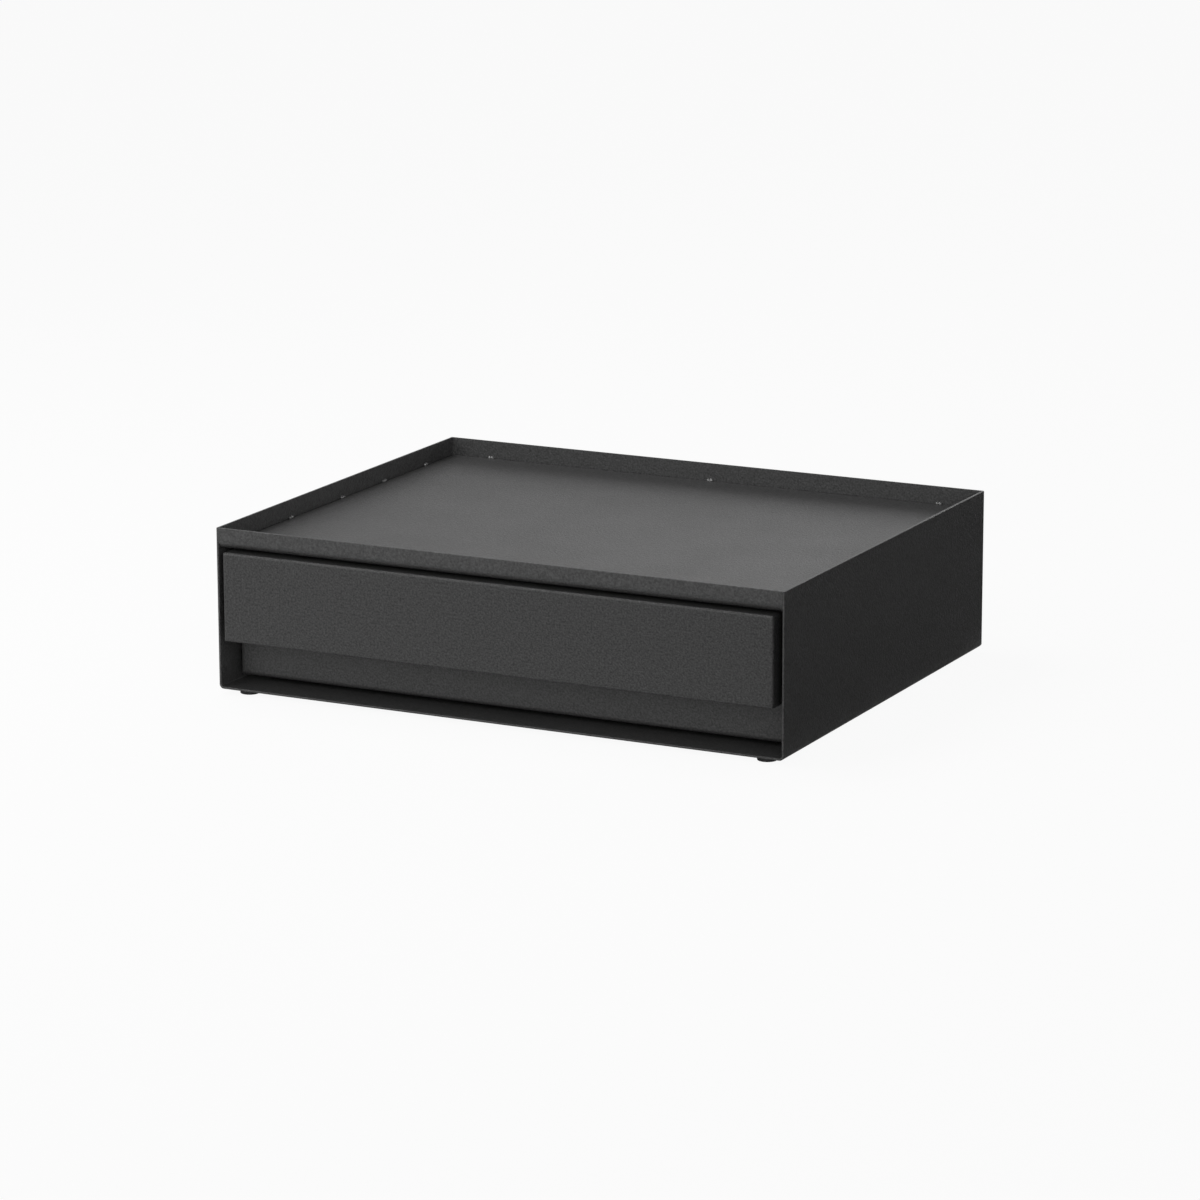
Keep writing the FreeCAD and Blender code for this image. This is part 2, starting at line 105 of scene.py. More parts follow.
world = bpy.data.worlds.new("studio_sky")
scene.world = world
world.use_nodes = True
sky = world.node_tree
sky.nodes.clear()
towards = add_node(sky, "ShaderNodeTexCoord")
total = None
for direction, strength, focus in SKY.values():
    facing = add_node(sky, "ShaderNodeVectorMath", {"operation": "DOT_PRODUCT"}, i0=(towards, "Generated"),
                      i1=direction)
    ahead = add_node(sky, "ShaderNodeMath", {"operation": "MAXIMUM"}, i0=(facing, "Value"), i1=0.0)
    soft = add_node(sky, "ShaderNodeMath", {"operation": "POWER"}, i0=(ahead, "Value"), i1=focus)
    total = add_node(sky, "ShaderNodeMath", {"operation": "MULTIPLY_ADD"}, i0=(soft, "Value"), i1=strength,
                     i2=(total, "Value") if total else 0.0)
ray = add_node(sky, "ShaderNodeLightPath")
light = add_node(sky, "ShaderNodeBackground", Color=WHITE, Strength=(total, "Value"))
seen = add_node(sky, "ShaderNodeBackground", Color=WHITE, Strength=1.0)
either = add_node(sky, "ShaderNodeMixShader", i0=(ray, "Is Camera Ray"), i1=(light, "Background"),
                  i2=(seen, "Background"))
add_node(sky, "ShaderNodeOutputWorld", Surface=(either, "Shader"))

table, tree = blank_material("white_table")
ray = add_node(tree, "ShaderNodeLightPath")
place = add_node(tree, "ShaderNodeTexCoord")
across = add_node(tree, "ShaderNodeSeparateXYZ", Vector=(place, "Object"))
# Painted shade: past this line the table turns dark grey for every ray but the camera's
beside = add_node(tree, "ShaderNodeMath", {"operation": "GREATER_THAN"}, i0=(across, "X"), i1=PAINTED_SHADE_FROM)
unseen = add_node(tree, "ShaderNodeMath", {"operation": "SUBTRACT"}, i0=1.0, i1=(ray, "Is Camera Ray"))
shade_mask = add_node(tree, "ShaderNodeMath", {"operation": "MULTIPLY"}, i0=(beside, "Value"),
                 i1=(unseen, "Value"))
paint = add_node(tree, "ShaderNodeBsdfDiffuse", Color=TABLE_PAINT)
shade_paint = add_node(tree, "ShaderNodeBsdfDiffuse", Color=PAINTED_SHADE_GREY)
glow = add_node(tree, "ShaderNodeEmission", Color=WHITE, Strength=1.0)
share = add_node(tree, "ShaderNodeMath", {"operation": "MULTIPLY"}, i0=(ray, "Is Camera Ray"), i1=TABLE_GLOW)
lit = add_node(tree, "ShaderNodeMixShader", i0=(shade_mask, "Value"), i1=(paint, "BSDF"), i2=(shade_paint, "BSDF"))
mixed = add_node(tree, "ShaderNodeMixShader", i0=(share, "Value"), i1=(lit, "Shader"), i2=(glow, "Emission"))
add_node(tree, "ShaderNodeOutputMaterial", Surface=(mixed, "Shader"))

mesh = bpy.data.meshes.new("floor")
corners = [(x * TABLE_REACH, y * TABLE_REACH, 0) for x, y in ((-1, -1), (1, -1), (1, 1), (-1, 1))]
mesh.from_pydata(corners, [], [(0, 1, 2, 3)])
mesh.materials.append(table)
new_object("floor", mesh)

for name, (place, wide, high, watts) in SOFT_BOXES.items():
    lamp = bpy.data.lights.new(name, "AREA")
    lamp.shape = "RECTANGLE"
    lamp.size = wide
    lamp.size_y = high
    lamp.energy = watts
    box = bpy.data.objects.new(name, lamp)
    scene.collection.objects.link(box)
    box.location = place
    box.rotation_euler = (SOFT_BOX_AIM - box.location).to_track_quat("-Z", "Y").to_euler()

# Camera. Its place, turn and lens come from fitting the seven visible corners of the case in the photo. The
# aim is given from the middle of the case.
CAMERA_AZIMUTH = math.radians(26.697)
CAMERA_ELEVATION = math.radians(13.648)
CAMERA_ROLL = math.radians(-0.146)
CAMERA_DISTANCE = 2.721
CAMERA_LENS_MM = 146.83
AIM_OFFSET = Vector((-0.00412, 0.0, -0.00710))

case_low, case_high = (Vector(corner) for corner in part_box("case_shell"))
flat = math.cos(CAMERA_ELEVATION)
back = Vector((math.sin(CAMERA_AZIMUTH) * flat, -math.cos(CAMERA_AZIMUTH) * flat, math.sin(CAMERA_ELEVATION)))
lens = bpy.data.cameras.new("camera")
lens.sensor_fit = "HORIZONTAL"
lens.sensor_width = 36.0
lens.lens = CAMERA_LENS_MM
lens.clip_end = 50.0
camera = bpy.data.objects.new("camera", lens)
scene.collection.objects.link(camera)
camera.rotation_mode = "QUATERNION"
camera.rotation_quaternion = back.to_track_quat("Z", "Y") @ Quaternion((0, 0, 1), CAMERA_ROLL)
camera.location = (case_low + case_high) / 2 + AIM_OFFSET + back * CAMERA_DISTANCE
scene.camera = camera
scene.view_settings.view_transform = "Standard"


# Case shell: floor, sides and back folded from one 1.2 mm steel sheet, rear corners welded and ground flush,
# then powder coated. The coat is near-black polyester with a fine sandy texture that breaks up every gloss.
POWDER_PITS, POWDER_PEAKS = "#2B2B2B", "#484848"
POWDER_IOR = 1.5
POWDER_SMOOTHEST, POWDER_ROUGHEST = 0.43, 0.46
GRAIN_MM = 1.1
GRAIN_HEIGHT_MM = 0.22
PATCH_MM = 45.0

# A noise texture's values lie mostly between these two
NOISE_LOW, NOISE_HIGH = 0.3, 0.7


def powder_coat(name, smoothest, roughest, grain_height_mm, bare=0.0, pits=POWDER_PITS, peaks=POWDER_PEAKS):
    """Fine-texture powder coat. Real grains are 0.3 to 0.5 mm; they are drawn 1.1 mm wide so that they show.
    Where the coat is thin, bare is the share of metal that glints through it."""
    coat, tree = blank_material(name)
    place = add_node(tree, "ShaderNodeTexCoord")
    grain = add_node(tree, "ShaderNodeTexNoise", Vector=(place, "Object"), Scale=1 / (GRAIN_MM * MM),
                     Detail=2.0, Roughness=0.6)
    patch = add_node(tree, "ShaderNodeTexNoise", Vector=(place, "Object"), Scale=1 / (PATCH_MM * MM),
                     Detail=2.0)
    matt = add_node(tree, "ShaderNodeMapRange", Value=(patch, "Fac"), From_Min=NOISE_LOW, From_Max=NOISE_HIGH,
                    To_Min=smoothest, To_Max=roughest)
    tone = add_node(tree, "ShaderNodeMapRange", Value=(grain, "Fac"), From_Min=NOISE_LOW, From_Max=NOISE_HIGH,
                    To_Min=0.0, To_Max=1.0)
    tint = add_node(tree, "ShaderNodeMix", {"data_type": "RGBA"}, Factor=(tone, "Result"), i6=linear(pits),
                    i7=linear(peaks))
    relief = add_node(tree, "ShaderNodeBump", Strength=1.0, Distance=grain_height_mm * MM,
                      Height=(grain, "Fac"))
    skin = add_node(tree, "ShaderNodeBsdfPrincipled", Base_Color=(tint, 2), Roughness=(matt, "Result"),
                    IOR=POWDER_IOR, Metallic=bare, Normal=(relief, "Normal"))
    add_node(tree, "ShaderNodeOutputMaterial", Surface=(skin, "BSDF"))
    return coat


def finish_node(name, material):
    """Gives every material slot of a CAD node the finish."""
    for slot in nodes[name].material_slots:
        slot.material = material


coat = powder_coat("powder_coated_steel", POWDER_SMOOTHEST, POWDER_ROUGHEST, GRAIN_HEIGHT_MM)
finish_node("case_shell", coat)

# Tray plate: a second 1.2 mm steel sheet between the walls, its front edge folded up into the front rim. It
# is tack welded to the walls and coated together with the case.
finish_node("tray_plate", coat)


# Tack welds: two short dabs of weld metal at each place where the plate meets a wall. Their coat is half
# metal and a much lighter grey than the case coat. The metal share glints for real, and the lighter grey is
# partly painted highlight that brightens the glints. More dabs close the two front corners, where the rim
# meets the side walls.
DAB_RADIUS = 1.2 * MM
DAB_RISE = 0.35 * MM
DAB_SPREAD = 0.85 * MM
DAB_SPREAD_SWING = (0.85, 1.15)
DAB_STRETCH = (0.82, 1.05)
DAB_LUMP = 0.35 * MM
LUMPS_PER_METRE = 900.0
CORNER_DABS = 4
CORNER_DAB_STRETCH = ((0.45, 0.6), (0.45, 0.6), (0.8, 1.0))
LOWEST_CORNER_DAB, CORNER_DAB_STEP = 1.6 * MM, 1.9 * MM
CORNER_DAB_INSET, LOWEST_DAB_INSET = 1.35 * MM, 2.6 * MM
SAME_POINT = 0.001 * MM
WELD_SEED = 7
# The lighter grey pits and peaks here are partly painted highlight on the dabs
weld_coat_and_glint = powder_coat("powder_coat_over_weld_and_painted_glint", smoothest=0.26, roughest=0.32, grain_height_mm=0.02,
                        bare=0.5, pits="#5A5A5A", peaks="#8A8A8A")


def solids_of(name):
    """The middle and the size of each separate solid in a grouped CAD node."""
    copy = bmesh.new()
    copy.from_mesh(nodes[name].data)
    bmesh.ops.remove_doubles(copy, verts=copy.verts, dist=SAME_POINT)
    left = set(copy.verts)
    found = []
    while left:
        open_ends = [left.pop()]
        solid = []
        while open_ends:
            corner = open_ends.pop()
            solid.append(corner.co.copy())
            for edge in corner.link_edges:
                other = edge.other_vert(corner)
                if other in left:
                    left.remove(other)
                    open_ends.append(other)
        low = Vector(min(p[i] for p in solid) for i in range(3))
        high = Vector(max(p[i] for p in solid) for i in range(3))
        found.append(((low + high) / 2, high - low))
    copy.free()
    return sorted(found, key=lambda solid: tuple(round(v, 6) for v in solid[0]))


def points_mesh(name, places, **vectors):
    """Loose points with a named vector on each, for a Geometry Nodes tree to build on."""
    mesh = bpy.data.meshes.new(name)
    mesh.from_pydata(places, [], [])
    for label, values in vectors.items():
        mesh.attributes.new(label, "FLOAT_VECTOR", "POINT")
        mesh.attributes[label].data.foreach_set("vector", [v for value in values for v in value])
    return mesh


def new_tree(name, sockets):
    """A Geometry Nodes tree that takes points and the named inputs; returns it with its input node."""
    tree = bpy.data.node_groups.new(name, "GeometryNodeTree")
    tree.interface.new_socket("Geometry", in_out="OUTPUT", socket_type="NodeSocketGeometry")
    tree.interface.new_socket("Points", in_out="INPUT", socket_type="NodeSocketGeometry")
    for label, kind in sockets.items():
        tree.interface.new_socket(label, in_out="INPUT", socket_type="NodeSocket" + kind)
    return tree, tree.nodes.new("NodeGroupInput")


def grow(name, points, tree, values):
    """Runs the tree on the points and returns the result as a plain object."""
    host = new_object(name, points)
    modifier = host.modifiers.new("grow", "NODES")
    modifier.node_group = tree
    for socket in tree.interface.items_tree:
        if socket.in_out == "INPUT" and socket.name in values:
            modifier[socket.identifier] = values[socket.name]
    bpy.context.view_layer.update()
    mesh = bpy.data.meshes.new_from_object(host.evaluated_get(bpy.context.evaluated_depsgraph_get()))
    host.modifiers.remove(modifier)
    bpy.data.objects.remove(host)
    mesh.name = name
    return new_object(name, mesh)


tree, given = new_tree("weld_dabs", {"Radius": "Float", "Lump": "Float", "Seed": "Float",
                                     "Finish": "Material"})
ball = add_node(tree, "GeometryNodeMeshIcoSphere", Radius=(given, "Radius"), Subdivisions=4)
stretch = add_node(tree, "GeometryNodeInputNamedAttribute", {"data_type": "FLOAT_VECTOR"}, Name="stretch")
dabs = add_node(tree, "GeometryNodeInstanceOnPoints", Points=(given, "Points"), Instance=(ball, "Mesh"),
                Scale=(stretch, "Attribute"))
real = add_node(tree, "GeometryNodeRealizeInstances", Geometry=(dabs, "Instances"))
where = add_node(tree, "GeometryNodeInputPosition")
bumps = add_node(tree, "ShaderNodeTexNoise", {"noise_dimensions": "4D"}, Vector=(where, "Position"),
                 W=(given, "Seed"), Scale=LUMPS_PER_METRE, Detail=1.0)
swing = add_node(tree, "ShaderNodeMath", {"operation": "SUBTRACT"}, i0=(bumps, "Fac"), i1=0.5)
push = add_node(tree, "ShaderNodeMath", {"operation": "MULTIPLY"}, i0=(swing, "Value"), i1=(given, "Lump"))
outward = add_node(tree, "GeometryNodeInputNormal")
shift = add_node(tree, "ShaderNodeVectorMath", {"operation": "SCALE"}, i0=(outward, "Normal"),
                 Scale=(push, "Value"))
lumpy = add_node(tree, "GeometryNodeSetPosition", Geometry=(real, "Geometry"), Offset=(shift, "Vector"))
smooth = add_node(tree, "GeometryNodeSetShadeSmooth", Geometry=(lumpy, "Geometry"))
dressed = add_node(tree, "GeometryNodeSetMaterial", Geometry=(smooth, "Geometry"), Material=(given, "Finish"))
add_node(tree, "NodeGroupOutput", Geometry=(dressed, "Geometry"))

chance = random.Random(WELD_SEED)
places = []
stretches = []
weld_solids = solids_of("tray_weld_beads")
plate_top = min(middle.z - size.z / 2 for middle, size in weld_solids)
for middle, size in weld_solids:
    at_the_back = size.x > size.y
    along = Vector((1, 0, 0)) if at_the_back else Vector((0, 1, 0))
    side_wall = math.copysign(abs(middle.x) + size.x / 2, middle.x)
    wall = Vector((middle.x, middle.y + size.y / 2, 0)) if at_the_back else Vector((side_wall, middle.y, 0))
    inward = Vector((0, -1, 0)) if at_the_back else Vector((-math.copysign(1, middle.x), 0, 0))
    for side in (-1, 1):
        spread = side * DAB_SPREAD * chance.uniform(*DAB_SPREAD_SWING)
        places.append(wall + along * spread + inward * DAB_RISE + Vector((0, 0, plate_top + DAB_RISE)))
        stretches.append([chance.uniform(*DAB_STRETCH) for axis in range(3)])
tray_low, tray_high = (Vector(corner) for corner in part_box("tray_plate"))
for side in (-1, 1):
    for step in range(CORNER_DABS):
        inset = CORNER_DAB_INSET if step else LOWEST_DAB_INSET
        height = plate_top + LOWEST_CORNER_DAB + CORNER_DAB_STEP * step
        places.append(Vector((side * tray_high.x, tray_low.y + inset, height)))
        stretches.append([chance.uniform(*span) for span in CORNER_DAB_STRETCH])
welds = grow("tack_welds", points_mesh("weld_points", places, stretch=stretches), tree,
             {"Radius": DAB_RADIUS, "Lump": DAB_LUMP, "Seed": float(WELD_SEED), "Finish": weld_coat_and_glint})
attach(welds, "case")
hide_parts("tray_weld_beads")


# Feet: four stick-on feet moulded in black rubber, 11 mm across. Each has a rounded lower edge, a slight
# draft, and a dished underside with a fine lip, which leaves a ring to stand on.
FOOT_RADIUS = 5.5 * MM
FOOT_DRAFT = 0.1 * MM
FOOT_DISH = 0.5 * MM
FOOT_RING = 1.6 * MM
FOOT_ROUND = 0.3 * MM
RING_CHAMFER_HEIGHT, RING_CHAMFER_WIDTH = 0.12 * MM, 0.15 * MM
GLOSS_PATCH_MM = 12.0
UPRIGHT = (0, 0, 0)


def arc(radius, height, bend, start, end, steps=6):
    """Points of a lathe profile on a quarter or other arc, angles in degrees."""
    turns = [math.radians(start + (end - start) * i / steps) for i in range(steps + 1)]
    return [(radius + bend * math.cos(t), height + bend * math.sin(t)) for t in turns]


def lathe(name, profile, steps=48, ring=False, sharp=35.0):
    """A closed mesh turned about Z from (radius, height) points; a ring's profile is a closed loop. Edges
    that turn by more than sharp degrees stay crisp."""
    work = bmesh.new()
    rows = []
    for radius, height in profile:
        if radius == 0:
            rows.append([work.verts.new((0, 0, height))])
        else:
            turns = [2 * math.pi * i / steps for i in range(steps)]
            rows.append([work.verts.new((radius * math.cos(t), radius * math.sin(t), height)) for t in turns])
    pairs = list(zip(rows, rows[1:])) + ([(rows[-1], rows[0])] if ring else [])
    for lower, upper in pairs:
        for i in range(steps):
            a, b = lower[i % len(lower)], lower[(i + 1) % len(lower)]
            c, d = upper[(i + 1) % len(upper)], upper[i % len(upper)]
            work.faces.new([v for n, v in enumerate((a, b, c, d)) if v not in (a, b, c, d)[:n]])
    bmesh.ops.recalc_face_normals(work, faces=work.faces)
    for face in work.faces:
        face.smooth = True
    for edge in work.edges:
        edge.smooth = edge.calc_face_angle(0) < math.radians(sharp)
    mesh = bpy.data.meshes.new(name)
    work.to_mesh(mesh)
    work.free()
    return mesh


copies, given = new_tree("set_out_copies", {"Shape": "Object", "Finish": "Material"})
shape = add_node(copies, "GeometryNodeObjectInfo", Object=(given, "Shape"))
turn = add_node(copies, "GeometryNodeInputNamedAttribute", {"data_type": "FLOAT_VECTOR"}, Name="turn")
placed = add_node(copies, "GeometryNodeInstanceOnPoints", Points=(given, "Points"),
                  Instance=(shape, "Geometry"), Rotation=(turn, "Attribute"))
real = add_node(copies, "GeometryNodeRealizeInstances", Geometry=(placed, "Instances"))
dressed = add_node(copies, "GeometryNodeSetMaterial", Geometry=(real, "Geometry"), Material=(given, "Finish"))
add_node(copies, "NodeGroupOutput", Geometry=(dressed, "Geometry"))


def set_out(name, shape_mesh, places, turns, material, body, slot, *replaced):
    """Copies a shape to each place with its turn, as one piece of a body that stands for CAD nodes."""
    pattern = new_object(name + "_pattern", shape_mesh)
    piece = grow(name, points_mesh(name + "_points", places, turn=turns), copies,
                 {"Shape": pattern, "Finish": material})
    bpy.data.objects.remove(pattern)
    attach(piece, body)
    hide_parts(*replaced)


def moulded(name, colour, roughness, roughness_swing, ior, speck_mm, relief_mm):
    """A moulded rubber or plastic skin: even colour, fine spark-eroded texture, slightly uneven gloss."""
    skin, tree = blank_material(name)
    place = add_node(tree, "ShaderNodeTexCoord")
    speck = add_node(tree, "ShaderNodeTexNoise", Vector=(place, "Object"), Scale=1 / (speck_mm * MM),
                     Detail=2.0)
    flow = add_node(tree, "ShaderNodeTexNoise", Vector=(place, "Object"), Scale=1 / (GLOSS_PATCH_MM * MM),
                    Detail=3.0)
    gloss = add_node(tree, "ShaderNodeMapRange", Value=(flow, "Fac"), From_Min=NOISE_LOW, From_Max=NOISE_HIGH,
                     To_Min=roughness - roughness_swing, To_Max=roughness + roughness_swing)
    relief = add_node(tree, "ShaderNodeBump", Strength=1.0, Distance=relief_mm * MM, Height=(speck, "Fac"))
    face = add_node(tree, "ShaderNodeBsdfPrincipled", Base_Color=linear(colour), Roughness=(gloss, "Result"),
                    IOR=ior, Normal=(relief, "Normal"))
    add_node(tree, "ShaderNodeOutputMaterial", Surface=(face, "BSDF"))
    return skin


rubber = moulded("moulded_rubber", "#2B2B2B", roughness=0.72, roughness_swing=0.05, ior=1.52, speck_mm=0.5,
                 relief_mm=0.03)
foot_names = ["foot_front_left", "foot_front_right", "foot_rear_left", "foot_rear_right"]
foot_low, foot_high = (Vector(corner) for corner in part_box(foot_names[0]))
foot_height = foot_high.z - foot_low.z
dish = FOOT_RADIUS - FOOT_RING
foot_profile = [(0, FOOT_DISH), (dish - FOOT_DISH, FOOT_DISH)] + arc(dish, 0.0, FOOT_DISH, 180, 90)[1:4]
foot_profile += [(dish, RING_CHAMFER_HEIGHT), (dish + RING_CHAMFER_WIDTH, 0.0)]
foot_profile += arc(FOOT_RADIUS - FOOT_DRAFT - FOOT_ROUND, FOOT_ROUND, FOOT_ROUND, -90, 0)
foot_profile += [(FOOT_RADIUS, foot_height), (0, foot_height)]
foot_places = []
for name in foot_names:
    low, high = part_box(name)
    foot_places.append(((low[0] + high[0]) / 2, (low[1] + high[1]) / 2, low[2]))
set_out("rubber_feet", lathe("foot", foot_profile), foot_places, [UPRIGHT] * len(foot_places), rubber, "case",
        "foot_rubber", *foot_names)


# Runners: black nylon angles on the case floor, and the push rivets that hold them. A rivet has a low head
# with a drive pin in a well in its middle, a shank through the floor and a spread tail underneath.
HEAD, SHANK, TAIL, PIN = 3.0 * MM, 1.5 * MM, 2.4 * MM, 1.1 * MM
HEAD_HEIGHT, TAIL_HEIGHT = 1.0 * MM, 0.8 * MM
HEAD_ROUND, HEAD_SHOULDER, TAIL_ROUND = 0.35 * MM, 0.45 * MM, 0.4 * MM
WELL_DEPTH, WELL_RIM, WELL_GAP = 0.25 * MM, 0.25 * MM, 0.08 * MM
PIN_SINK, PIN_HOLLOW = 0.05 * MM, 0.12 * MM
RIVET_STEPS = 36

nylon = moulded("moulded_nylon", "#343434", roughness=0.42, roughness_swing=0.06, ior=1.53, speck_mm=0.8,
                relief_mm=0.02)
finish_node("runner_left", nylon)
finish_node("runner_right", nylon)
rivet_solids = solids_of("runner_rivets")
rivet_top = rivet_solids[0][1].z
seat = rivet_top - HEAD_HEIGHT
rivet_profile = [(0, 0)] + arc(TAIL - TAIL_ROUND, TAIL_ROUND, TAIL_ROUND, -90, 0)
rivet_profile += [(TAIL, TAIL_HEIGHT), (SHANK, TAIL_HEIGHT), (SHANK, seat), (HEAD, seat)]
rivet_profile += arc(HEAD - HEAD_ROUND, rivet_top - HEAD_SHOULDER, HEAD_ROUND, 0, 80, 5)
rivet_profile += [(PIN + WELL_RIM, rivet_top), (PIN + WELL_GAP, rivet_top - WELL_DEPTH)]
rivet_profile += [(PIN, rivet_top - WELL_DEPTH), (PIN, rivet_top - PIN_SINK), (0, rivet_top - PIN_HOLLOW)]
rivet_places = [middle - Vector((0, 0, size.z / 2)) for middle, size in rivet_solids]
set_out("push_rivets", lathe("rivet", rivet_profile, RIVET_STEPS), rivet_places,
        [UPRIGHT] * len(rivet_places), nylon, "case", "nylon", "runner_rivets")

# Bumpers: two low domes of the same moulded rubber as the feet, stuck to the back wall. The closed drawer
# comes to rest against them.
finish_node("bumper_left", rubber)
finish_node("bumper_right", rubber)

# Stop rail: an angle folded from the same steel sheet, welded under the tray and coated with it. Its hanging
# leg stops the open drawer.
finish_node("stop_rail", coat)

# Drawer box: a pan folded and welded from 1.0 mm steel, with hemmed side walls, coated like the case. Its
# front wall is the recessed strip behind the finger slot.
finish_node("drawer_box", coat)

# Drawer front: a folded cap, open below as a finger pull, with a flattened hem along its lower edge. Its coat
# is the case coat with a coarser texture and darker pits and peaks. The darker colour is painted shade that
# stands in for the weaker light on the front.
FRONT_GRAIN_HEIGHT_MM = 0.36
# The darker pits and peaks here are painted shade on the drawer front
shaded_front_coat = powder_coat("powder_coat_front_painted_shade", POWDER_SMOOTHEST, POWDER_ROUGHEST,
                         FRONT_GRAIN_HEIGHT_MM, pits="#181818", peaks="#404040")
finish_node("drawer_front", shaded_front_coat)


# Screws and clinch nuts: M4 pan heads with a cross recess, driven from inside the box into round nuts that
# are pressed into the flanges of the front. Black zinc over rolled thread gives a dull metal gloss.
SCREW_HEAD, SCREW_SHANK, THREAD_ROOT = 4.0 * MM, 2.0 * MM, 1.65 * MM
SCREW_HEAD_HEIGHT, SCREW_HEAD_ROUND, SCREW_TIP = 2.4 * MM, 1.2 * MM, 0.3 * MM
NECK_TAPER_FROM, NECK_TAPER_TO = 0.5 * MM, 0.3 * MM
THREAD_PITCH = 0.7 * MM
THREAD_LIFT, THREAD_MARGIN = 0.5 * MM, 1.2 * MM
CROSS_ARM, CROSS_HALF_WIDTH, CROSS_DEPTH = 2.2 * MM, 0.45 * MM, 1.2 * MM
PUNCH_TIP_SCALE, PUNCH_TOP_SCALE, PUNCH_OVERSHOOT = 0.55, 1.15, 0.4 * MM
NUT_BODY, NUT_BORE, NUT_NECK = 4.0 * MM, 2.05 * MM, 2.85 * MM
NUT_CHAMFER, BORE_CHAMFER = 0.35 * MM, 0.3 * MM
FLANGE = 1.2 * MM
ZINC_DARK, ZINC_LIGHT = "#55565A", "#66676A"
ZINC_SMOOTHEST, ZINC_ROUGHEST = 0.30, 0.46
ZINC_GRAIN_MM, ZINC_GRAIN_HEIGHT_MM, ZINC_CLOUD_MM = 0.35, 0.01, 3.0
SCREW_SEED = 3


def black_zinc(name):
    """Black zinc on cold-formed steel: dark metal, fine cross-hatched grain and uneven gloss."""
    plate, tree = blank_material(name)
    place = add_node(tree, "ShaderNodeTexCoord")
    grain = add_node(tree, "ShaderNodeTexNoise", Vector=(place, "Object"), Scale=1 / (ZINC_GRAIN_MM * MM),
                     Detail=3.0)
    cloud = add_node(tree, "ShaderNodeTexNoise", Vector=(place, "Object"), Scale=1 / (ZINC_CLOUD_MM * MM),
                     Detail=2.0)
    gloss = add_node(tree, "ShaderNodeMapRange", Value=(cloud, "Fac"), From_Min=NOISE_LOW,
                     From_Max=NOISE_HIGH, To_Min=ZINC_SMOOTHEST, To_Max=ZINC_ROUGHEST)
    tint = add_node(tree, "ShaderNodeMix", {"data_type": "RGBA"}, Factor=(cloud, "Fac"), i6=linear(ZINC_DARK),
                    i7=linear(ZINC_LIGHT))
    relief = add_node(tree, "ShaderNodeBump", Strength=0.6, Distance=ZINC_GRAIN_HEIGHT_MM * MM,
                      Height=(grain, "Fac"))
    metal = add_node(tree, "ShaderNodeBsdfPrincipled", Base_Color=(tint, 2), Metallic=1.0,
                     Roughness=(gloss, "Result"), Normal=(relief, "Normal"))
    add_node(tree, "ShaderNodeOutputMaterial", Surface=(metal, "BSDF"))
    return plate


zinc = black_zinc("black_zinc_steel")
screw_solids = solids_of("front_screws")
screw_top = screw_solids[0][1].y
seat = screw_top - SCREW_HEAD_HEIGHT
screw_profile = [(0, 0), (THREAD_ROOT - SCREW_TIP, 0), (THREAD_ROOT, SCREW_TIP)]
screw_profile += [(THREAD_ROOT, seat - NECK_TAPER_FROM), (SCREW_SHANK, seat - NECK_TAPER_TO)]
screw_profile += [(SCREW_SHANK, seat), (SCREW_HEAD, seat)]
screw_profile += arc(SCREW_HEAD - SCREW_HEAD_ROUND, screw_top - SCREW_HEAD_ROUND, SCREW_HEAD_ROUND, 0, 90)
screw_profile += [(0, screw_top)]
screw = new_object("screw", lathe("screw", screw_profile))

# The cross recess is cut with a tapered four-armed punch
arm, thin = CROSS_ARM, CROSS_HALF_WIDTH
outline = [(arm, -thin), (arm, thin), (thin, thin), (thin, arm), (-thin, arm), (-thin, thin), (-arm, thin),
           (-arm, -thin), (-thin, -thin), (-thin, -arm), (thin, -arm), (thin, -thin)]
levels = ((PUNCH_TIP_SCALE, -CROSS_DEPTH), (PUNCH_TOP_SCALE, PUNCH_OVERSHOOT))
corners = [(x * scale, y * scale, screw_top + rise) for scale, rise in levels for x, y in outline]
count = len(outline)
sides = [(i, (i + 1) % count, count + (i + 1) % count, count + i) for i in range(count)]
mesh = bpy.data.meshes.new("punch")
mesh.from_pydata(corners, [], sides + [tuple(range(count - 1, -1, -1)), tuple(range(count, 2 * count))])
punch = new_object("punch", mesh)
cut = screw.modifiers.new("recess", "BOOLEAN")
cut.operation = "DIFFERENCE"
cut.solver = "EXACT"
cut.object = punch
bpy.context.view_layer.update()
screw_core = bpy.data.meshes.new_from_object(screw.evaluated_get(bpy.context.evaluated_depsgraph_get()))
bpy.data.objects.remove(screw)
bpy.data.objects.remove(punch)

tree, given = new_tree("threaded_screws", {"Shape": "Object", "Thread Radius": "Float", "Pitch": "Float",
                                           "Length": "Float", "Finish": "Material"})
shape = add_node(tree, "GeometryNodeObjectInfo", Object=(given, "Shape"))
turns = add_node(tree, "ShaderNodeMath", {"operation": "DIVIDE"}, i0=(given, "Length"), i1=(given, "Pitch"))
helix = add_node(tree, "GeometryNodeCurveSpiral", Resolution=24, Rotations=(turns, "Value"),
                 Start_Radius=(given, "Thread Radius"), End_Radius=(given, "Thread Radius"),
                 Height=(given, "Length"))
ridge_size = add_node(tree, "ShaderNodeMath", {"operation": "MULTIPLY"}, i0=(given, "Pitch"), i1=0.5)
ridge = add_node(tree, "GeometryNodeCurvePrimitiveCircle", Resolution=4, Radius=(ridge_size, "Value"))
thread = add_node(tree, "GeometryNodeCurveToMesh", Curve=(helix, "Curve"), Profile_Curve=(ridge, "Curve"),
                  Fill_Caps=True)
raised = add_node(tree, "GeometryNodeTransform", Geometry=(thread, "Mesh"), Translation=(0, 0, THREAD_LIFT))
whole = add_node(tree, "GeometryNodeJoinGeometry", Geometry=(shape, "Geometry"))
tree.links.new(raised.outputs["Geometry"], whole.inputs["Geometry"])
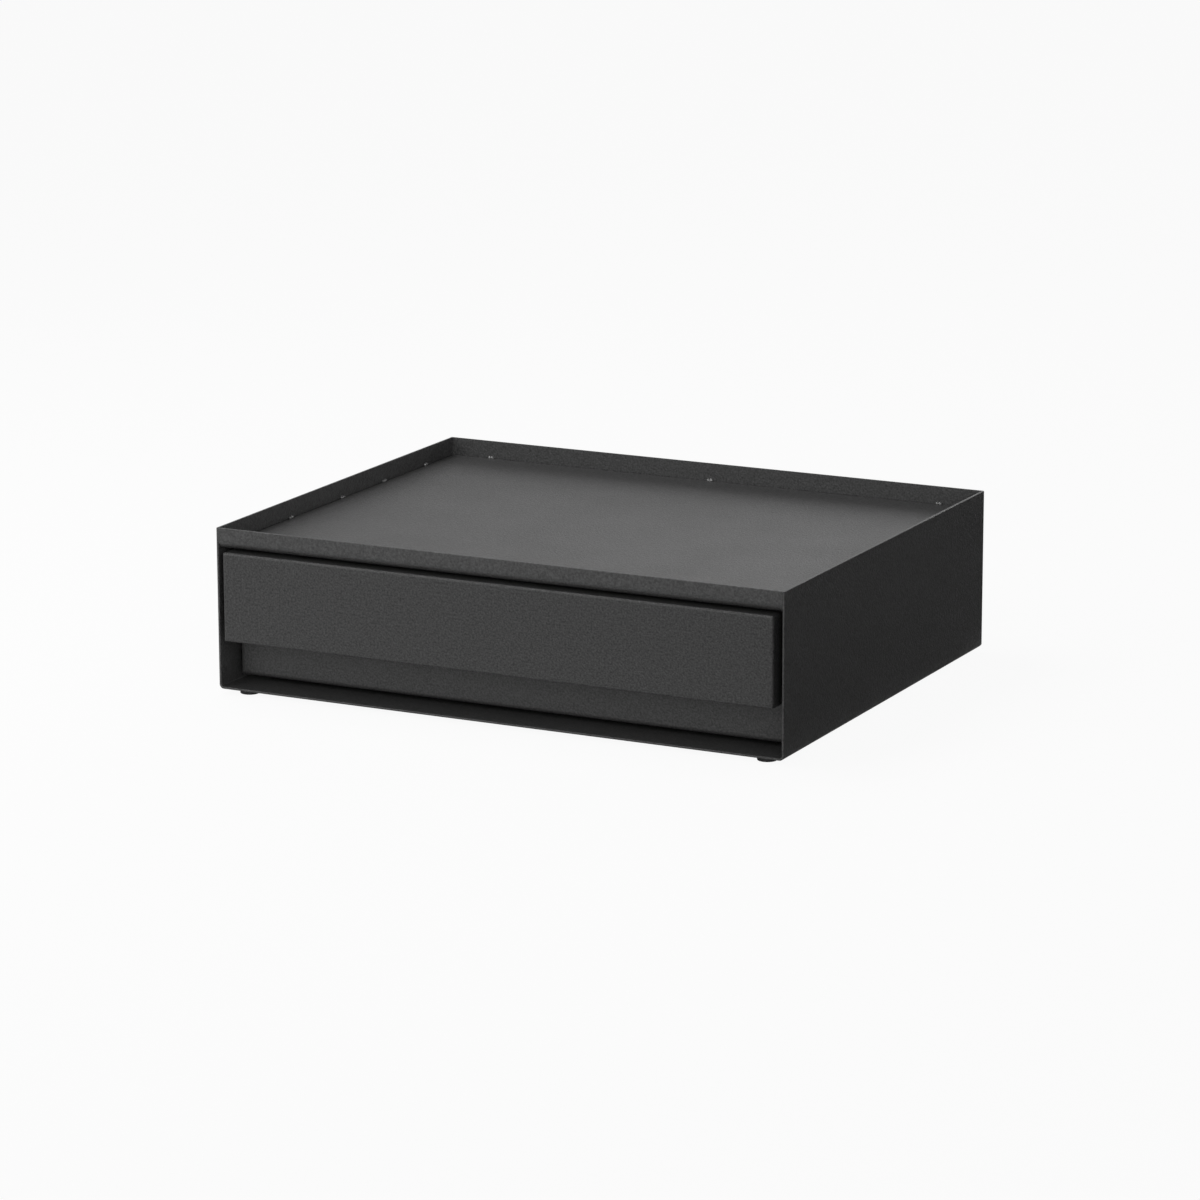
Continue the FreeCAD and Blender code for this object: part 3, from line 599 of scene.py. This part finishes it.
turn = add_node(tree, "GeometryNodeInputNamedAttribute", {"data_type": "FLOAT_VECTOR"}, Name="turn")
placed = add_node(tree, "GeometryNodeInstanceOnPoints", Points=(given, "Points"),
                  Instance=(whole, "Geometry"), Rotation=(turn, "Attribute"))
real = add_node(tree, "GeometryNodeRealizeInstances", Geometry=(placed, "Instances"))
dressed = add_node(tree, "GeometryNodeSetMaterial", Geometry=(real, "Geometry"), Material=(given, "Finish"))
add_node(tree, "NodeGroupOutput", Geometry=(dressed, "Geometry"))

chance = random.Random(SCREW_SEED)
screw_places = [middle - Vector((0, size.y / 2, 0)) for middle, size in screw_solids]
screw_turns = [(-math.pi / 2, chance.uniform(0, math.pi / 2), 0) for place in screw_places]
pattern = new_object("screw_pattern", screw_core)
screws = grow("cross_head_screws", points_mesh("screw_points", screw_places, turn=screw_turns), tree,
              {"Shape": pattern, "Thread Radius": SCREW_SHANK - 0.5 * THREAD_PITCH, "Pitch": THREAD_PITCH,
               "Length": seat - THREAD_MARGIN, "Finish": zinc})
bpy.data.objects.remove(pattern)
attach(screws, "drawer")
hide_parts("front_screws")

nut_solids = solids_of("front_nuts")
nut_top = nut_solids[0][1].y
nut_profile = [(NUT_BORE, 0), (NUT_NECK, 0), (NUT_NECK, FLANGE), (NUT_BODY, FLANGE)]
nut_profile += [(NUT_BODY, nut_top - NUT_CHAMFER), (NUT_BODY - NUT_CHAMFER, nut_top)]
nut_profile += [(NUT_BORE + BORE_CHAMFER, nut_top), (NUT_BORE, nut_top - BORE_CHAMFER)]
nut_places = [middle + Vector((0, size.y / 2, 0)) for middle, size in nut_solids]
nut_turns = [(math.pi / 2, 0, 0)] * len(nut_places)
set_out("clinch_nuts", lathe("nut", nut_profile, ring=True), nut_places, nut_turns, zinc, "drawer",
        "zinc_steel", "front_nuts")

# Stop clips: two hooks moulded in black nylon and pushed over the rear wall of the drawer box. They glide
# under the tray and meet the stop rail.
finish_node("stop_clip_left", nylon)
finish_node("stop_clip_right", nylon)
